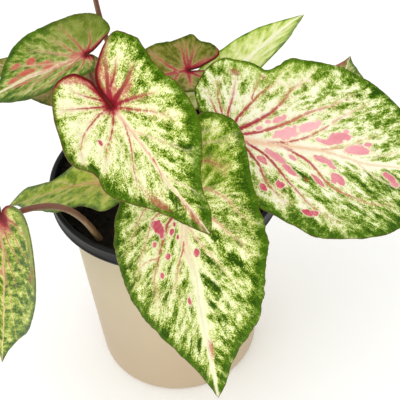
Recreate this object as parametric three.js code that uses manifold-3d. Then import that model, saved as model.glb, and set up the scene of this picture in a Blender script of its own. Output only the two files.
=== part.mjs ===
import * as THREE from 'three';
import { mergeVertices } from 'three/addons/utils/BufferGeometryUtils.js';
import Module from 'manifold-3d';

// A caladium with eleven heart-shaped leaves, in a black 12 cm nursery pot that hangs by its collar on the
// flared lip of a cream cover pot. Millimetres, +Z up, origin at the centre of the cover pot's underside.

const GAP = 0.3; // clearance between pieces that touch

// Cover pot: a tapered cup with a closed base and a flared lip
const COVER_HEIGHT = 120.4;
const COVER_LIP_RADIUS = 58;
const COVER_NECK_RADIUS = 51.8; // where the lip starts to flare
const COVER_NECK_Z = 111.6;
const COVER_FOOT_RADIUS = 46.3;
const COVER_WALL = 2.4;
const COVER_BASE = 3;
const COVER_FOOT_ROUND = 4.4;
const COVER_LIP_ROUND = 1.2;

const LIP_SLOPE = 48; // degrees, of the flare, from the horizontal

// Nursery pot: thin plastic, flared the same way, its wide collar resting on the cover pot's lip
const COLLAR_RADIUS = 60;
const COLLAR_HEIGHT = 9.2;
const COLLAR_WALL = 1.6;
const COLLAR_BEAD = 1.3; // radius of the rolled bead at the collar's top
const NURSERY_FOOT_RADIUS = 42;
const NURSERY_FOOT_Z = 6;
const NURSERY_WALL = 1.4;
const NURSERY_NECK_RADIUS = 48.9;
const NURSERY_NECK_Z = 112.7;
const DRAIN_RADIUS = 4;
const DRAIN_RING = 27;
const DRAIN_COUNT = 6;

// Soil and the corm inside it
const SOIL_LEVEL = 124;
const SOIL_RELIEF = 0.8;
const CORM_CENTRE_Z = 88;
const CORM_RADIUS = 19;
const CORM_HALF_HEIGHT = 11;
const CORM_CROWN = 15; // stems start no further than this from the corm's axis
const CROWN_SPREAD = 0.6; // a stem's place on the corm, as a share of its place on the soil
const HOLE_RUN_OUT = 2; // how far a stem's hole runs on past its lower end, into the corm's hollow

// Stems taper from the soil to the blade
const STEM_FOOT_RADIUS = 1.9;
const STEM_TOP_RADIUS = 1.2;
const STEM_SIDES = 8;
const STEM_STEPS = 16;
const STEM_BACKSET = 2; // how far in front of the notch the blade sits on its stem

// Blades
const BLADE_THICKNESS = 0.8;
const BLADE_FOLD = 8; // degrees, each half rising from the midrib
const BLADE_CURL = 18; // degrees, further rise from midrib to margin
const LOBE_DROP = 15; // degrees, the back lobes bending down behind the stem
const MIDRIB_SHARE = 0.62; // share of the margin whose rows start on the midrib; the rest fan from the stem
const WAVE_COUNT = 2.5;
const WAVE_SHIFT = 1.3; // radians between the waves of the two halves
const BLADE_ROWS = 20;
const BLADE_COLUMNS = 4;

// The common heart-shaped half outline, tip to notch: share of half width, share of length
const HEART = [
  [0.13, 0.87], [0.42, 0.67], [0.74, 0.43], [0.95, 0.17], [1, -0.07],
  [0.82, -0.27], [0.5, -0.36], [0.2, -0.31], [0.03, -0.1],
];

// Each leaf: where its stem meets the blade, the heading of its tip (degrees from +X, towards +Y), how far
// the tip points down (pitch), its roll, the length from stem to tip, the half width, and the droop of the
// tip. right and left give an outline of its own, seen from above with the tip ahead, in millimetres.
// stem: where it leaves the soil, the lengths of its lower and upper bends as shares of the distance to the
// blade, how it arrives (under the blade, leaning outwards, or for the rest upright), and how much thicker
// than usual it is.
const LEAVES = {
  front: {
    at: [-15, -61, 220], heading: 329, pitch: 51, roll: 24, length: 68, width: 29, droop: 5, wave: 1,
    right: [[5, 59], [13, 43], [25, 25], [25, 14], [30, 3], [21, -14], [14, -21], [5, -20], [0, -13]],
    left: [[6, 60], [11, 47], [23, 29], [26, 11], [24, -2], [24, -15], [17, -23], [4, -16], [0, -9]],
    stem: { soil: [4, -12], rise: 0.5, reach: 0.35, under: 0, lean: 0.45 },
  },
  lower_front: {
    at: [10, -57, 160], heading: 285, pitch: 70, roll: -11, length: 104, width: 42, droop: -2, wave: 1,
    right: [[9, 83], [19, 66], [34, 38], [39, 18], [39, -3], [25, -28], [20, -40], [9, -36], [1, -10]],
    left: [
      [6, 96], [13, 84], [27, 66], [32, 42], [36, 25], [33, 2],
      [30, -28], [20, -41], [9, -38], [1, -10],
    ],
    stem: { soil: [9, -22] },
  },
  right: {
    at: [34, -11, 162], heading: 356, pitch: 14, roll: 30, length: 123, width: 50, droop: 12, wave: 1.5,
    right: [[8, 113], [38, 81], [49, 47], [46, 31], [39, 14], [32, -21], [21, -29], [10, -25], [3, -12]],
    left: [
      [8, 111], [33, 78], [42, 52], [41, 24], [36, 17], [34, 12],
      [36, 5], [34, -12], [19, -21], [10, -18], [4, -14],
    ],
    stem: { soil: [21, -8] },
  },
  upper_left: {
    at: [-33, 15, 194], heading: 187, pitch: 17, roll: -10, length: 56, width: 23, droop: 5,
    right: [[4, 47], [15, 40], [23, 28], [24, 10], [23, -3], [18, -12], [9, -15], [4, -9], [1, -4]],
    left: [[5, 50], [13, 39], [18, 29], [18, 13], [17, 0], [14, -3], [9, -4], [5, -4], [1, -3]],
    stem: { soil: [-13, 4] },
  },
  lower_left: {
    at: [-72, -54, 158], heading: 224, pitch: 80, roll: 1, length: 91, width: 40, droop: -8,
    left: [
      [5, 80], [16, 63], [29, 46], [39, 27], [47, 9], [50, -7],
      [46, -20], [34, -23], [20, -18], [8, -11], [1, -4],
    ],
    stem: { soil: [-33, -39], rise: 0.66, reach: 0.48, under: 0, lean: 1.2, sway: [3, -9], thick: 1.1 },
  },
  left: {
    at: [-29, -28, 150], heading: 157, pitch: 22, roll: -3, length: 68, width: 28, droop: 15,
    twist: -4, curl: 6,
    right: [[8, 58], [8, 45], [9, 33], [22, 14], [21, -2], [27, -19], [14, -25], [6, -21], [1, -7]],
    left: [[3, 57], [12, 43], [15, 32], [21, 14], [18, 1], [25, -17], [14, -23], [6, -20], [1, -7]],
    stem: { soil: [-18, -8] },
  },
  back: {
    at: [15, 30, 171], heading: 198, pitch: -6, roll: -9, length: 44, width: 22, droop: 12,
    right: [[5, 38], [14, 25], [19, 12], [19, 3], [21, -8], [17, -12], [13, -18], [6, -19], [1, -7]],
    stem: { soil: [1, 6] },
  },
  upper_right: {
    at: [32, 35, 155], heading: 38, pitch: -30, roll: -17, length: 61, width: 23, droop: 19,
    right: [[4, 56], [10, 48], [18, 39], [26, 27], [28, 8], [23, -14], [13, -22], [5, -19], [1, -6]],
    left: [[5, 53], [13, 39], [17, 26], [20, 10], [21, -5], [18, -16], [11, -22], [5, -19], [1, -6]],
    stem: { soil: [12, 12] },
  },
  far_right: {
    at: [89, 23, 144], heading: 70, pitch: -6, roll: 1, length: 52, width: 19, droop: 9,
    stem: { soil: [24, 4], rise: 0.5, under: 0.3, lean: 0.6 },
  },
  far_left: {
    at: [-47, 33, 162], heading: 152, pitch: -12, roll: -4, length: 54, width: 23, droop: 18,
    left: [[3, 47], [10, 36], [17, 23], [21, 9], [20, -2], [16, -14], [10, -19], [4, -17], [1, -5]],
    stem: { soil: [-21, 12] },
  },
  top: {
    at: [-26, 38, 225], heading: 179, pitch: 10, roll: -12, length: 45, width: 20, droop: 6, wave: 1,
    stem: { soil: [-5, 20], under: 0, reach: 0.45 },
  },
};

const UP = new THREE.Vector3(0, 0, 1);
const wasm = await Module();
wasm.setup();

// ---- solids joined and cut ----

function weld(geometry) {
  geometry.deleteAttribute('normal');
  geometry.deleteAttribute('uv');
  return mergeVertices(geometry, 1e-3);
}

function toManifold(geometry) {
  const welded = weld(geometry);
  const vertProperties = new Float32Array(welded.attributes.position.array);
  const triVerts = new Uint32Array(welded.index.array);
  return new wasm.Manifold(new wasm.Mesh({ numProp: 3, vertProperties, triVerts }));
}

function fromManifold(solid) {
  const mesh = solid.getMesh();
  const geometry = new THREE.BufferGeometry();
  geometry.setAttribute('position', new THREE.BufferAttribute(mesh.vertProperties, 3));
  geometry.setIndex(new THREE.BufferAttribute(mesh.triVerts, 1));
  return geometry;
}

// A closed profile of [radius, z] points turned about the Z axis
function turned(profile, segments = 48) {
  const points = profile.map(([radius, z]) => new THREE.Vector2(radius, z));
  return weld(new THREE.LatheGeometry(points, segments).rotateX(Math.PI / 2));
}

// Points on a quarter or half circle in a profile, angles in degrees
function arc(radius, z, round, from, to, steps = 4) {
  const points = [];
  for (let i = 0; i <= steps; i++) {
    const angle = THREE.MathUtils.degToRad(from + ((to - from) * i) / steps);
    points.push([radius + round * Math.cos(angle), z + round * Math.sin(angle)]);
  }
  return points;
}

// ---- pots ----

// Radius on a flare that leaves a neck, at a height
function onFlare(neckRadius, neckZ, z) {
  return neckRadius + (z - neckZ) / Math.tan(THREE.MathUtils.degToRad(LIP_SLOPE));
}

function coverPot() {
  const lip = COVER_LIP_ROUND;
  const foot = COVER_FOOT_ROUND;
  const inner = COVER_NECK_RADIUS - COVER_WALL;
  const innerNeck = COVER_NECK_Z + 0.9;
  const flareTop = COVER_HEIGHT - lip;
  return turned([
    [0, 0],
    ...arc(COVER_FOOT_RADIUS - foot, foot, foot, -90, -5),
    [COVER_NECK_RADIUS, COVER_NECK_Z],
    [COVER_LIP_RADIUS, flareTop - 0.8],
    ...arc(COVER_LIP_RADIUS - lip, flareTop, lip, 0, 180),
    [onFlare(inner, innerNeck, flareTop - 0.4), flareTop - 0.4],
    [inner, innerNeck],
    [COVER_FOOT_RADIUS - COVER_WALL, COVER_BASE + 2],
    [COVER_FOOT_RADIUS - COVER_WALL - 2, COVER_BASE],
    [0, COVER_BASE],
  ]);
}

// The neck on the inside of the nursery pot, or further in by a clearance
function innerNeck(clearance = 0) {
  return [[NURSERY_NECK_RADIUS - NURSERY_WALL - clearance, NURSERY_NECK_Z + 0.5 + clearance / 2]];
}

function nurseryPot() {
  const ledge = COVER_HEIGHT + GAP;
  const top = ledge + COLLAR_HEIGHT;
  const floor = NURSERY_FOOT_Z + NURSERY_WALL;
  const flareTop = onFlare(NURSERY_NECK_RADIUS, NURSERY_NECK_Z, ledge);
  const shell = toManifold(turned([
    [0, NURSERY_FOOT_Z],
    [NURSERY_FOOT_RADIUS, NURSERY_FOOT_Z],
    [NURSERY_NECK_RADIUS, NURSERY_NECK_Z],
    [flareTop, ledge],
    [COLLAR_RADIUS - 1, ledge],
    [COLLAR_RADIUS, ledge + 1],
    ...arc(COLLAR_RADIUS - COLLAR_BEAD, top - COLLAR_BEAD, COLLAR_BEAD, 0, 180),
    [COLLAR_RADIUS - COLLAR_WALL, top - 2 * COLLAR_BEAD - 0.5],
    [COLLAR_RADIUS - COLLAR_WALL, ledge + NURSERY_WALL],
    [flareTop - 0.6, ledge + NURSERY_WALL],
    ...innerNeck(),
    [NURSERY_FOOT_RADIUS - NURSERY_WALL, floor],
    [0, floor],
  ]));
  let pot = shell;
  for (let i = 0; i < DRAIN_COUNT; i++) {
    const angle = (i * 2 * Math.PI) / DRAIN_COUNT;
    const drain = new THREE.CylinderGeometry(DRAIN_RADIUS, DRAIN_RADIUS, 4 * NURSERY_WALL, 12);
    drain.rotateX(Math.PI / 2);
    drain.translate(DRAIN_RING * Math.cos(angle), DRAIN_RING * Math.sin(angle), NURSERY_FOOT_Z);
    pot = pot.subtract(toManifold(drain));
  }
  return fromManifold(pot);
}

// ---- corm and soil ----

function cormBody(margin = 0) {
  const body = new THREE.SphereGeometry(1, 20, 12).rotateX(Math.PI / 2);
  body.scale(CORM_RADIUS + margin, CORM_RADIUS + margin, CORM_HALF_HEIGHT + margin);
  body.translate(0, 0, CORM_CENTRE_Z);
  return weld(body);
}

// Point and outward normal on top of the corm, towards a stem's place on the soil
function crownPoint(soil) {
  const away = Math.hypot(soil[0], soil[1]);
  const share = Math.min(CROWN_SPREAD, CORM_CROWN / away);
  const x = soil[0] * share;
  const y = soil[1] * share;
  const height = CORM_HALF_HEIGHT * Math.sqrt(1 - (x * x + y * y) / CORM_RADIUS ** 2);
  const normal = new THREE.Vector3(x / CORM_RADIUS ** 2, y / CORM_RADIUS ** 2, height / CORM_HALF_HEIGHT ** 2);
  return { point: new THREE.Vector3(x, y, CORM_CENTRE_Z + height), normal: normal.normalize() };
}

function soilHeight(x, y) {
  return SOIL_LEVEL + SOIL_RELIEF * Math.sin(x / 7 + 1) * Math.cos(y / 9);
}

function soilBody(stems) {
  const floor = NURSERY_FOOT_Z + NURSERY_WALL + GAP;
  const inset = NURSERY_WALL + GAP;
  const ledge = COVER_HEIGHT + 2 * GAP + NURSERY_WALL;
  const edge = COLLAR_RADIUS - COLLAR_WALL - GAP;
  const rings = [edge - 1, 48, 38, 27, 14, 0].map((radius) => [radius, SOIL_LEVEL]);
  const filling = turned([
    [0, floor],
    [NURSERY_FOOT_RADIUS - inset, floor],
    ...innerNeck(GAP),
    [onFlare(NURSERY_NECK_RADIUS, NURSERY_NECK_Z, ledge) - 2.4, ledge],
    [edge, ledge],
    [edge, SOIL_LEVEL - SOIL_RELIEF],
    ...rings,
  ], 36);
  const position = filling.attributes.position;
  for (let i = 0; i < position.count; i++) {
    if (position.getZ(i) === SOIL_LEVEL) {
      position.setZ(i, soilHeight(position.getX(i), position.getY(i)));
    }
  }
  let body = toManifold(filling).subtract(toManifold(cormBody(GAP)));
  for (const stem of stems) {
    body = body.subtract(toManifold(stemBody(stem, GAP, HOLE_RUN_OUT)));
  }
  return fromManifold(body);
}

// ---- leaves ----

// Tip direction, upward normal and right-hand direction of a blade at its stem
function bladeFrame(leaf) {
  const heading = THREE.MathUtils.degToRad(leaf.heading);
  const pitch = THREE.MathUtils.degToRad(leaf.pitch);
  const roll = THREE.MathUtils.degToRad(leaf.roll);
  const flat = new THREE.Vector3(Math.cos(heading), Math.sin(heading), 0);
  const ahead = flat.clone().multiplyScalar(Math.cos(pitch)).addScaledVector(UP, -Math.sin(pitch));
  const level = flat.clone().multiplyScalar(Math.sin(pitch)).addScaledVector(UP, Math.cos(pitch));
  const aside = new THREE.Vector3().crossVectors(ahead, level);
  const normal = level.clone().applyAxisAngle(ahead, roll);
  const right = aside.clone().applyAxisAngle(ahead, roll);
  return { ahead, normal, right };
}

// Distances along and across after an even bend, for a run at a bend per millimetre and a starting slope
function bend(run, rate, slope = 0) {
  if (Math.abs(rate) < 1e-6) {
    return [run * Math.cos(slope), run * Math.sin(slope)];
  }
  const turn = slope + rate * run;
  return [(Math.sin(turn) - Math.sin(slope)) / rate, (Math.cos(slope) - Math.cos(turn)) / rate];
}

// Places a point of the flat blade in space. side is 1 right of the midrib and -1 left of it,
// row runs 0 to 1 from tip to notch, and column 0 to 1 from midrib to margin.
function placeOnBlade(leaf, side, x, y, row, column) {
  const { ahead, normal, right } = bladeFrame(leaf);
  const toRadians = THREE.MathUtils.degToRad;
  const lengthwise = y > 0 ? toRadians(leaf.droop) / leaf.length : -toRadians(LOBE_DROP) / leaf.length;
  const [along, down] = bend(y, lengthwise);
  const turn = lengthwise * y;
  const facing = normal.clone().multiplyScalar(Math.cos(turn)).addScaledVector(ahead, Math.sin(turn));
  const twist = toRadians(leaf.twist ?? 0) * Math.max(y / leaf.length, 0);
  const across = right.clone().multiplyScalar(Math.cos(twist)).addScaledVector(facing, -Math.sin(twist));
  const out = facing.clone().multiplyScalar(Math.cos(twist)).addScaledVector(right, Math.sin(twist));
  const [sideways, rise] = bend(x, toRadians(leaf.curl ?? BLADE_CURL) / leaf.width, toRadians(BLADE_FOLD));
  const phase = 2 * Math.PI * WAVE_COUNT * row + (side > 0 ? 0 : WAVE_SHIFT);
  const wave = (leaf.wave ?? 0) * column ** 2 * Math.sin(phase);
  return new THREE.Vector3(...leaf.at)
    .addScaledVector(ahead, along)
    .addScaledVector(normal, -down)
    .addScaledVector(across, side * sideways)
    .addScaledVector(out, rise + wave);
}

// Half outline from tip to notch
function margin(leaf, side) {
  const own = side > 0 ? leaf.right : leaf.left;
  const points = own ?? HEART.map(([across, along]) => [across * leaf.width, along * leaf.length]);
  return new THREE.SplineCurve([[0, leaf.length], ...points].map(([x, y]) => new THREE.Vector2(x, y)));
}

function bladeSurface(leaf) {
  const vertices = [];
  const faces = [];
  for (const side of [1, -1]) {
    const first = vertices.length / 3;
    const edge = margin(leaf, side);
    for (let i = 0; i <= BLADE_ROWS; i++) {
      const row = i / BLADE_ROWS;
      const end = edge.getPoint(row);
      const start = leaf.length * Math.max(1 - row / MIDRIB_SHARE, 0);
      for (let j = 0; j <= BLADE_COLUMNS; j++) {
        const column = j / BLADE_COLUMNS;
        const x = column * Math.max(end.x, 0);
        const y = start + (end.y - start) * column;
        vertices.push(...placeOnBlade(leaf, side, x, y, row, column));
      }
    }
    const stride = BLADE_COLUMNS + 1;
    for (let i = 0; i < BLADE_ROWS; i++) {
      for (let j = 0; j < BLADE_COLUMNS; j++) {
        const a = first + i * stride + j;
        const quad = [a, a + stride, a + stride + 1, a, a + stride + 1, a + 1];
        faces.push(...(side > 0 ? quad.reverse() : quad));
      }
    }
  }
  const surface = new THREE.BufferGeometry();
  surface.setAttribute('position', new THREE.Float32BufferAttribute(vertices, 3));
  surface.setIndex(faces);
  return mergeVertices(surface, 1e-3);
}

// Gives an open surface its thickness: the same triangles on both faces, and a rim along its free edges
function thicken(surface, thickness) {
  surface.computeVertexNormals();
  const { position, normal } = surface.attributes;
  const count = position.count;
  const vertices = [];
  for (const offset of [thickness / 2, -thickness / 2]) {
    for (let i = 0; i < count; i++) {
      vertices.push(position.getX(i) + offset * normal.getX(i));
      vertices.push(position.getY(i) + offset * normal.getY(i));
      vertices.push(position.getZ(i) + offset * normal.getZ(i));
    }
  }
  const faces = [];
  const edges = new Map();
  const index = surface.index.array;
  for (let i = 0; i < index.length; i += 3) {
    const [a, b, c] = [index[i], index[i + 1], index[i + 2]];
    if (a === b || b === c || c === a) continue;
    faces.push(a, b, c, a + count, c + count, b + count);
    for (const [from, to] of [[a, b], [b, c], [c, a]]) {
      edges.set(`${from} ${to}`, [from, to]);
    }
  }
  for (const [from, to] of edges.values()) {
    if (edges.has(`${to} ${from}`)) continue;
    faces.push(to, from, from + count, to, from + count, to + count);
  }
  const solid = new THREE.BufferGeometry();
  solid.setAttribute('position', new THREE.Float32BufferAttribute(vertices, 3));
  solid.setIndex(faces);
  return solid;
}

// ---- stems ----

// The stem's way from the corm through the soil to just under the blade
function stemPath(leaf) {
  const { soil, rise = 0.4, reach = 0.3, under = 0.55, lean = 0, sway = [0, 0], thick = 1 } = leaf.stem;
  const { normal } = bladeFrame(leaf);
  const clearance = BLADE_THICKNESS / 2 + GAP;
  const seat = placeOnBlade(leaf, 1, 0, STEM_BACKSET, 0, 0).addScaledVector(normal, -clearance);
  const foot = new THREE.Vector3(soil[0], soil[1], SOIL_LEVEL);
  const distance = foot.distanceTo(seat);
  const outward = seat.clone().sub(foot).setZ(0).normalize();
  const leaving = UP.clone().addScaledVector(outward, 0.25).normalize();
  const lower = foot.clone().addScaledVector(leaving, distance * rise);
  lower.add(new THREE.Vector3(sway[0], sway[1], 0));
  const arriving = normal.clone().multiplyScalar(under).addScaledVector(outward, lean);
  arriving.addScaledVector(UP, 1 - under - lean).normalize();
  const upper = seat.clone().addScaledVector(arriving, -distance * reach);
  const crown = crownPoint(soil);
  const depth = 0.4 * foot.distanceTo(crown.point);
  const start = crown.point.clone().addScaledVector(crown.normal, GAP);
  const low = start.clone().addScaledVector(crown.normal, depth);
  const high = foot.clone().addScaledVector(lower.clone().sub(foot).normalize(), -depth);
  const path = new THREE.CurvePath();
  path.add(new THREE.CubicBezierCurve3(start, low, high, foot));
  path.add(new THREE.CubicBezierCurve3(foot, lower, upper, seat));
  return { path, start, seat, startNormal: crown.normal, seatNormal: normal, thick };
}

// Slides a point along a direction onto a plane
function slideOntoPlane(point, direction, anchor, normal) {
  const distance = anchor.clone().sub(point).dot(normal) / direction.dot(normal);
  return point.addScaledVector(direction, distance);
}

// A tapered round tube, its ends cut to lie along the corm and along the blade. A hole for it has some
// clearance all round and runs on deeper.
function stemBody(stem, clearance = 0, deeper = 0) {
  const { path, seat, startNormal, seatNormal, thick } = stem;
  const start = stem.start.clone().addScaledVector(startNormal, -deeper);
  const frames = path.computeFrenetFrames(STEM_STEPS);
  const vertices = [];
  for (let i = 0; i <= STEM_STEPS; i++) {
    const share = i / STEM_STEPS;
    const centre = path.getPointAt(share);
    const radius = THREE.MathUtils.lerp(STEM_FOOT_RADIUS, STEM_TOP_RADIUS, share) * thick + clearance;
    for (let j = 0; j < STEM_SIDES; j++) {
      const angle = (2 * Math.PI * j) / STEM_SIDES;
      const point = centre.clone();
      point.addScaledVector(frames.normals[i], radius * Math.cos(angle));
      point.addScaledVector(frames.binormals[i], radius * Math.sin(angle));
      if (i === 0) slideOntoPlane(point, frames.tangents[i], start, startNormal);
      if (i === STEM_STEPS) slideOntoPlane(point, frames.tangents[i], seat, seatNormal);
      vertices.push(...point);
    }
  }
  const last = STEM_STEPS * STEM_SIDES;
  const faces = [];
  for (let i = 0; i < last; i += STEM_SIDES) {
    for (let j = 0; j < STEM_SIDES; j++) {
      const a = i + j;
      const b = i + ((j + 1) % STEM_SIDES);
      faces.push(a, b, b + STEM_SIDES, a, b + STEM_SIDES, a + STEM_SIDES);
    }
  }
  for (let j = 1; j < STEM_SIDES - 1; j++) {
    faces.push(0, j + 1, j, last, last + j, last + j + 1);
  }
  const tube = new THREE.BufferGeometry();
  tube.setAttribute('position', new THREE.Float32BufferAttribute(vertices, 3));
  tube.setIndex(faces);
  return tube;
}

// ---- assembly ----

const FINISHES = {
  cream_ceramic: { color: 0xcdb99b, roughness: 0.55 },
  black_plastic: { color: 0x282a2d, roughness: 0.5 },
  potting_soil: { color: 0x1c1712, roughness: 0.95 },
  corm_skin: { color: 0x5a3d28, roughness: 0.85 },
  leaf_blade: { color: 0xa9c46e, roughness: 0.5 },
  leaf_stem: { color: 0x8c5f4a, roughness: 0.5 },
};

function finish(name) {
  return new THREE.MeshStandardMaterial({ ...FINISHES[name], metalness: 0, name });
}

function piece(name, geometry, finishName) {
  const mesh = new THREE.Mesh(geometry, finish(finishName));
  mesh.name = name;
  return mesh;
}

const caladium = new THREE.Group();
const stems = Object.values(LEAVES).map(stemPath);
caladium.add(piece('cover_pot', coverPot(), 'cream_ceramic'));
caladium.add(piece('grow_pot', nurseryPot(), 'black_plastic'));
caladium.add(piece('soil', soilBody(stems), 'potting_soil'));
caladium.add(piece('tuber', cormBody(), 'corm_skin'));
Object.entries(LEAVES).forEach(([name, leaf], i) => {
  caladium.add(piece(`leaf_${name}`, thicken(bladeSurface(leaf), BLADE_THICKNESS), 'leaf_blade'));
  caladium.add(piece(`stem_${name}`, stemBody(stems[i]), 'leaf_stem'));
});

export default caladium;
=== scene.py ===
import math
import random
from types import SimpleNamespace

import bpy
import numpy as np
from mathutils import Matrix, Vector, noise


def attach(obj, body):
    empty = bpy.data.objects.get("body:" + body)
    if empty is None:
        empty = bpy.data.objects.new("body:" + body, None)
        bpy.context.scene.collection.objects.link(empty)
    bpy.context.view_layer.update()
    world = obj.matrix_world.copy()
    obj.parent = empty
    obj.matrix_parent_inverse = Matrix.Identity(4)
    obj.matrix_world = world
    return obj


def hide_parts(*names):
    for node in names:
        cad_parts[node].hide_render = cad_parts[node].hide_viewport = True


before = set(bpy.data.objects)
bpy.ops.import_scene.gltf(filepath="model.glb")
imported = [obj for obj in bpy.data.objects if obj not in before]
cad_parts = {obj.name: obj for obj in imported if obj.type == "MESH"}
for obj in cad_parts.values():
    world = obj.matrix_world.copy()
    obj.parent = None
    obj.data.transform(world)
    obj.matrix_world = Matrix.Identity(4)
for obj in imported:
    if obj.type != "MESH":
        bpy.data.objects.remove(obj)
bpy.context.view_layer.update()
MM = 0.001

# A caladium in a black nursery pot, which hangs by its collar in a cream cover pot.

# ---------------------------------------------------------------- the plant's measures, in millimetres

SOIL_LEVEL = 124
SOIL_RELIEF = 0.8
CRUMBS = 420
CRUMBS_REACH = 56  # from the pot's axis
CRUMB_SIZES = (0.6, 0.8, 1, 1.3, 1.8)

DRAIN_HOLES = 6
DRAIN_RADIUS = 4
DRAIN_RING = 27  # from the pot's axis to the middle of a hole

CORM_CENTRE = (0, 0, 88)
CORM_RADIUS = 19
CORM_HALF_HEIGHT = 11
CROWN_SPREAD = 0.6  # a stem's place on the corm, as a share of its place on the soil
CROWN_RADIUS = 15  # but no further than this from the corm's axis
CROWN_GAP = 0.3

STEM_FOOT = 1.9  # a stem's radius, and the same at its top
STEM_TOP = 1.2
STEM_FLARE = 0.25  # thicker by this where it meets the blade
STEM_SEAT = 2.0  # along the midrib, ahead of the point where the veins meet
STEM_BELOW = 0.5  # from the blade's middle to the stem's top

SHEET = 0.48  # thickness of a blade
BLADE_FOLD = 8  # degrees, each half rising from the midrib
BLADE_CURL = 18  # degrees, further rise from midrib to margin
LOBE_DROP = 15  # degrees, the back lobes bending down behind the stem
MIDRIB_SHARE = 0.62  # share of the margin whose rows start on the midrib; the rest fan from the notch
WAVE_COUNT = 2.5
WAVE_SHIFT = 1.3  # radians between the waves of the two halves
SIDE_VEIN_SLOPE = 1.4  # how far a side vein runs ahead for each step outwards
FAR = 9.0  # distance from a vein that no longer matters

# The common heart-shaped half outline, tip to notch: share of half width, share of length
HEART = [
    (0.13, 0.87), (0.42, 0.67), (0.74, 0.43), (0.95, 0.17), (1, -0.07),
    (0.82, -0.27), (0.5, -0.36), (0.2, -0.31), (0.03, -0.1),
]

# Veins of a leaf that has none of its own: (share of the midrib, share of the margin), and in the lobes
SIDE_VEINS = ((0, 0.56), (0.16, 0.45), (0.34, 0.34), (0.5, 0.23), (0.66, 0.14))
LOBE_VEINS = (0.67, 0.76, 0.85, 0.93)

# The leaves. x runs right of the midrib and y towards the tip, from the point where the veins meet.
# Shape: at, where that point is; heading, pitch, roll; length to the tip; half width; droop and twist of
# the tip; curl, wave and uneven bumps of the margin; right and left, own outlines from tip to notch; grid,
# rows and columns of faces; stem, see stalk_path().
# Ground: colours, a palette; green, how much greener; streaks, their share in the pattern; crisp, how
# sharp its specks are; squeeze and slant, how it is drawn out sideways and turned back; washes, paler
# areas (below 0: greener); calm, areas with less pattern; olive and moss, olive and dark areas.
# Margin: band, width of its green in the right lobe, right of the tip, in the left lobe and left of the
# tip; solid, how even that is; piping, strength of the thin brown edge.
# Veins: (width, redness, points), with the midrib first; redness of common ones; midrib, width of its
# pale band; peach, its warmth at the stem and half way on; veining and network, strength of the veins
# and of the finest ones; twigs, whether they fork; crimson, reach of the red round the stem's top and
# along the notch, and how far to the right its middle lies.
# Spots: pink, with how deep; rust, with how rosy; ink, pink's two colours; ring, strength of the pale
# ring round it; soft, how blurred it is.
# Areas and spots are ellipses: (x, y, half length, half width, degrees to the right, strength).
LEAVES = {}
LEAVES["front"] = dict(
    at=(-15, -61, 220), heading=329, pitch=51, roll=24, length=68, width=29, droop=5, wave=1,
    right=[(5, 59), (13, 43), (25, 25), (25, 14), (30, 3), (21, -14), (14, -21), (5, -20), (0, -13)],
    left=[(6, 60), (11, 47), (23, 29), (26, 11), (24, -2), (24, -15), (17, -23), (4, -16), (0, -9)],
    stem=dict(soil=(4, -12), rise=0.5, reach=0.35, under=0, lean=0.45),
    grid=(200, 54), colours="cream", green=0.08, band=(1.1, 2.6, 1.7, 4.2), midrib=2.4, peach=(0.7, 0.4),
    solid=0.6, piping=0.7,
    washes=[
        (17, 0, 18, 10, 0, 0.34), (5, 24, 12, 5, 10, 0.1), (-15, -16, 6, 6, 0, 0.22),
        (-22, 10, 6, 4, 0, 0.34), (-6, 29, 10, 5, -12, -0.05), (-13, -2, 7, 6, 0, -0.2),
        (12, -16, 6, 6, 0, 0.15),
    ],
    veins=[
        [0.9, 0.15, (0, 0), (0, 10), (0, 22), (1, 39), (0, 53), (0, 67)],
        [2.1, 1.4, (0, 0), (-3, -6), (-6, -11), (-9, -16), (-11, -20)],
        [1.1, 1.2, (-3, -6), (-8, -9), (-13, -14)], [2.3, 1.4, (0, 0), (-4, -2), (-10, -4), (-17, -8)],
        [1.6, 1.2, (0, 0), (-4, 1), (-10, 3), (-17, 6)],
        [0.55, 0.75, (0, 1), (-3, 3), (-8, 8), (-12, 12), (-17, 19)],
        [0.5, 0.15, (0, 11), (-4, 18), (-9, 26), (-15, 36)],
        [0.45, 0.55, (0, 21), (0, 28), (2, 35), (5, 39), (7, 41)],
        [0.5, 0.6, (0, 7), (4, 17), (10, 25), (12, 31), (10, 37), (7, 40)],
        [0.5, 0.85, (0, 1), (5, 6), (10, 9), (14, 11), (20, 16)],
        [0.5, 0.9, (0, 0), (4, -1), (15, 0), (22, 3), (26, 8)],
        [0.6, 0.95, (0, -1), (4, -3), (13, -9), (19, -13)],
        [0.6, 1, (0, -2), (3, -6), (7, -11), (10, -16)],
        [1.4, 1.2, (0, -3), (1, -7), (3, -13), (5, -18)], [0.4, 0.1, (0, 36), (-5, 46), (-7, 53)],
    ],
    pink=[(14, 7, 1.3, 0.9, 0, 1)],
    rust=[
        (10, 41, 7, 1.8, -22, 0.4), (1, 56, 9, 1.6, 0, 0.55), (-9, -2, 5, 1.6, 60, 0.9),
        (-5, -7, 5, 2, 32, 1), (-5, -13, 6, 1.2, 17, 1), (6, -17, 7, 1.3, 126, 0.9),
    ],
    moss=[(25, 13, 4, 3, 0), (3.2, 45, 5.5, 2.2, 4), (-14, 30, 4, 2, -35)],
    crimson=(4.5, 17, 1),
)
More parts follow.
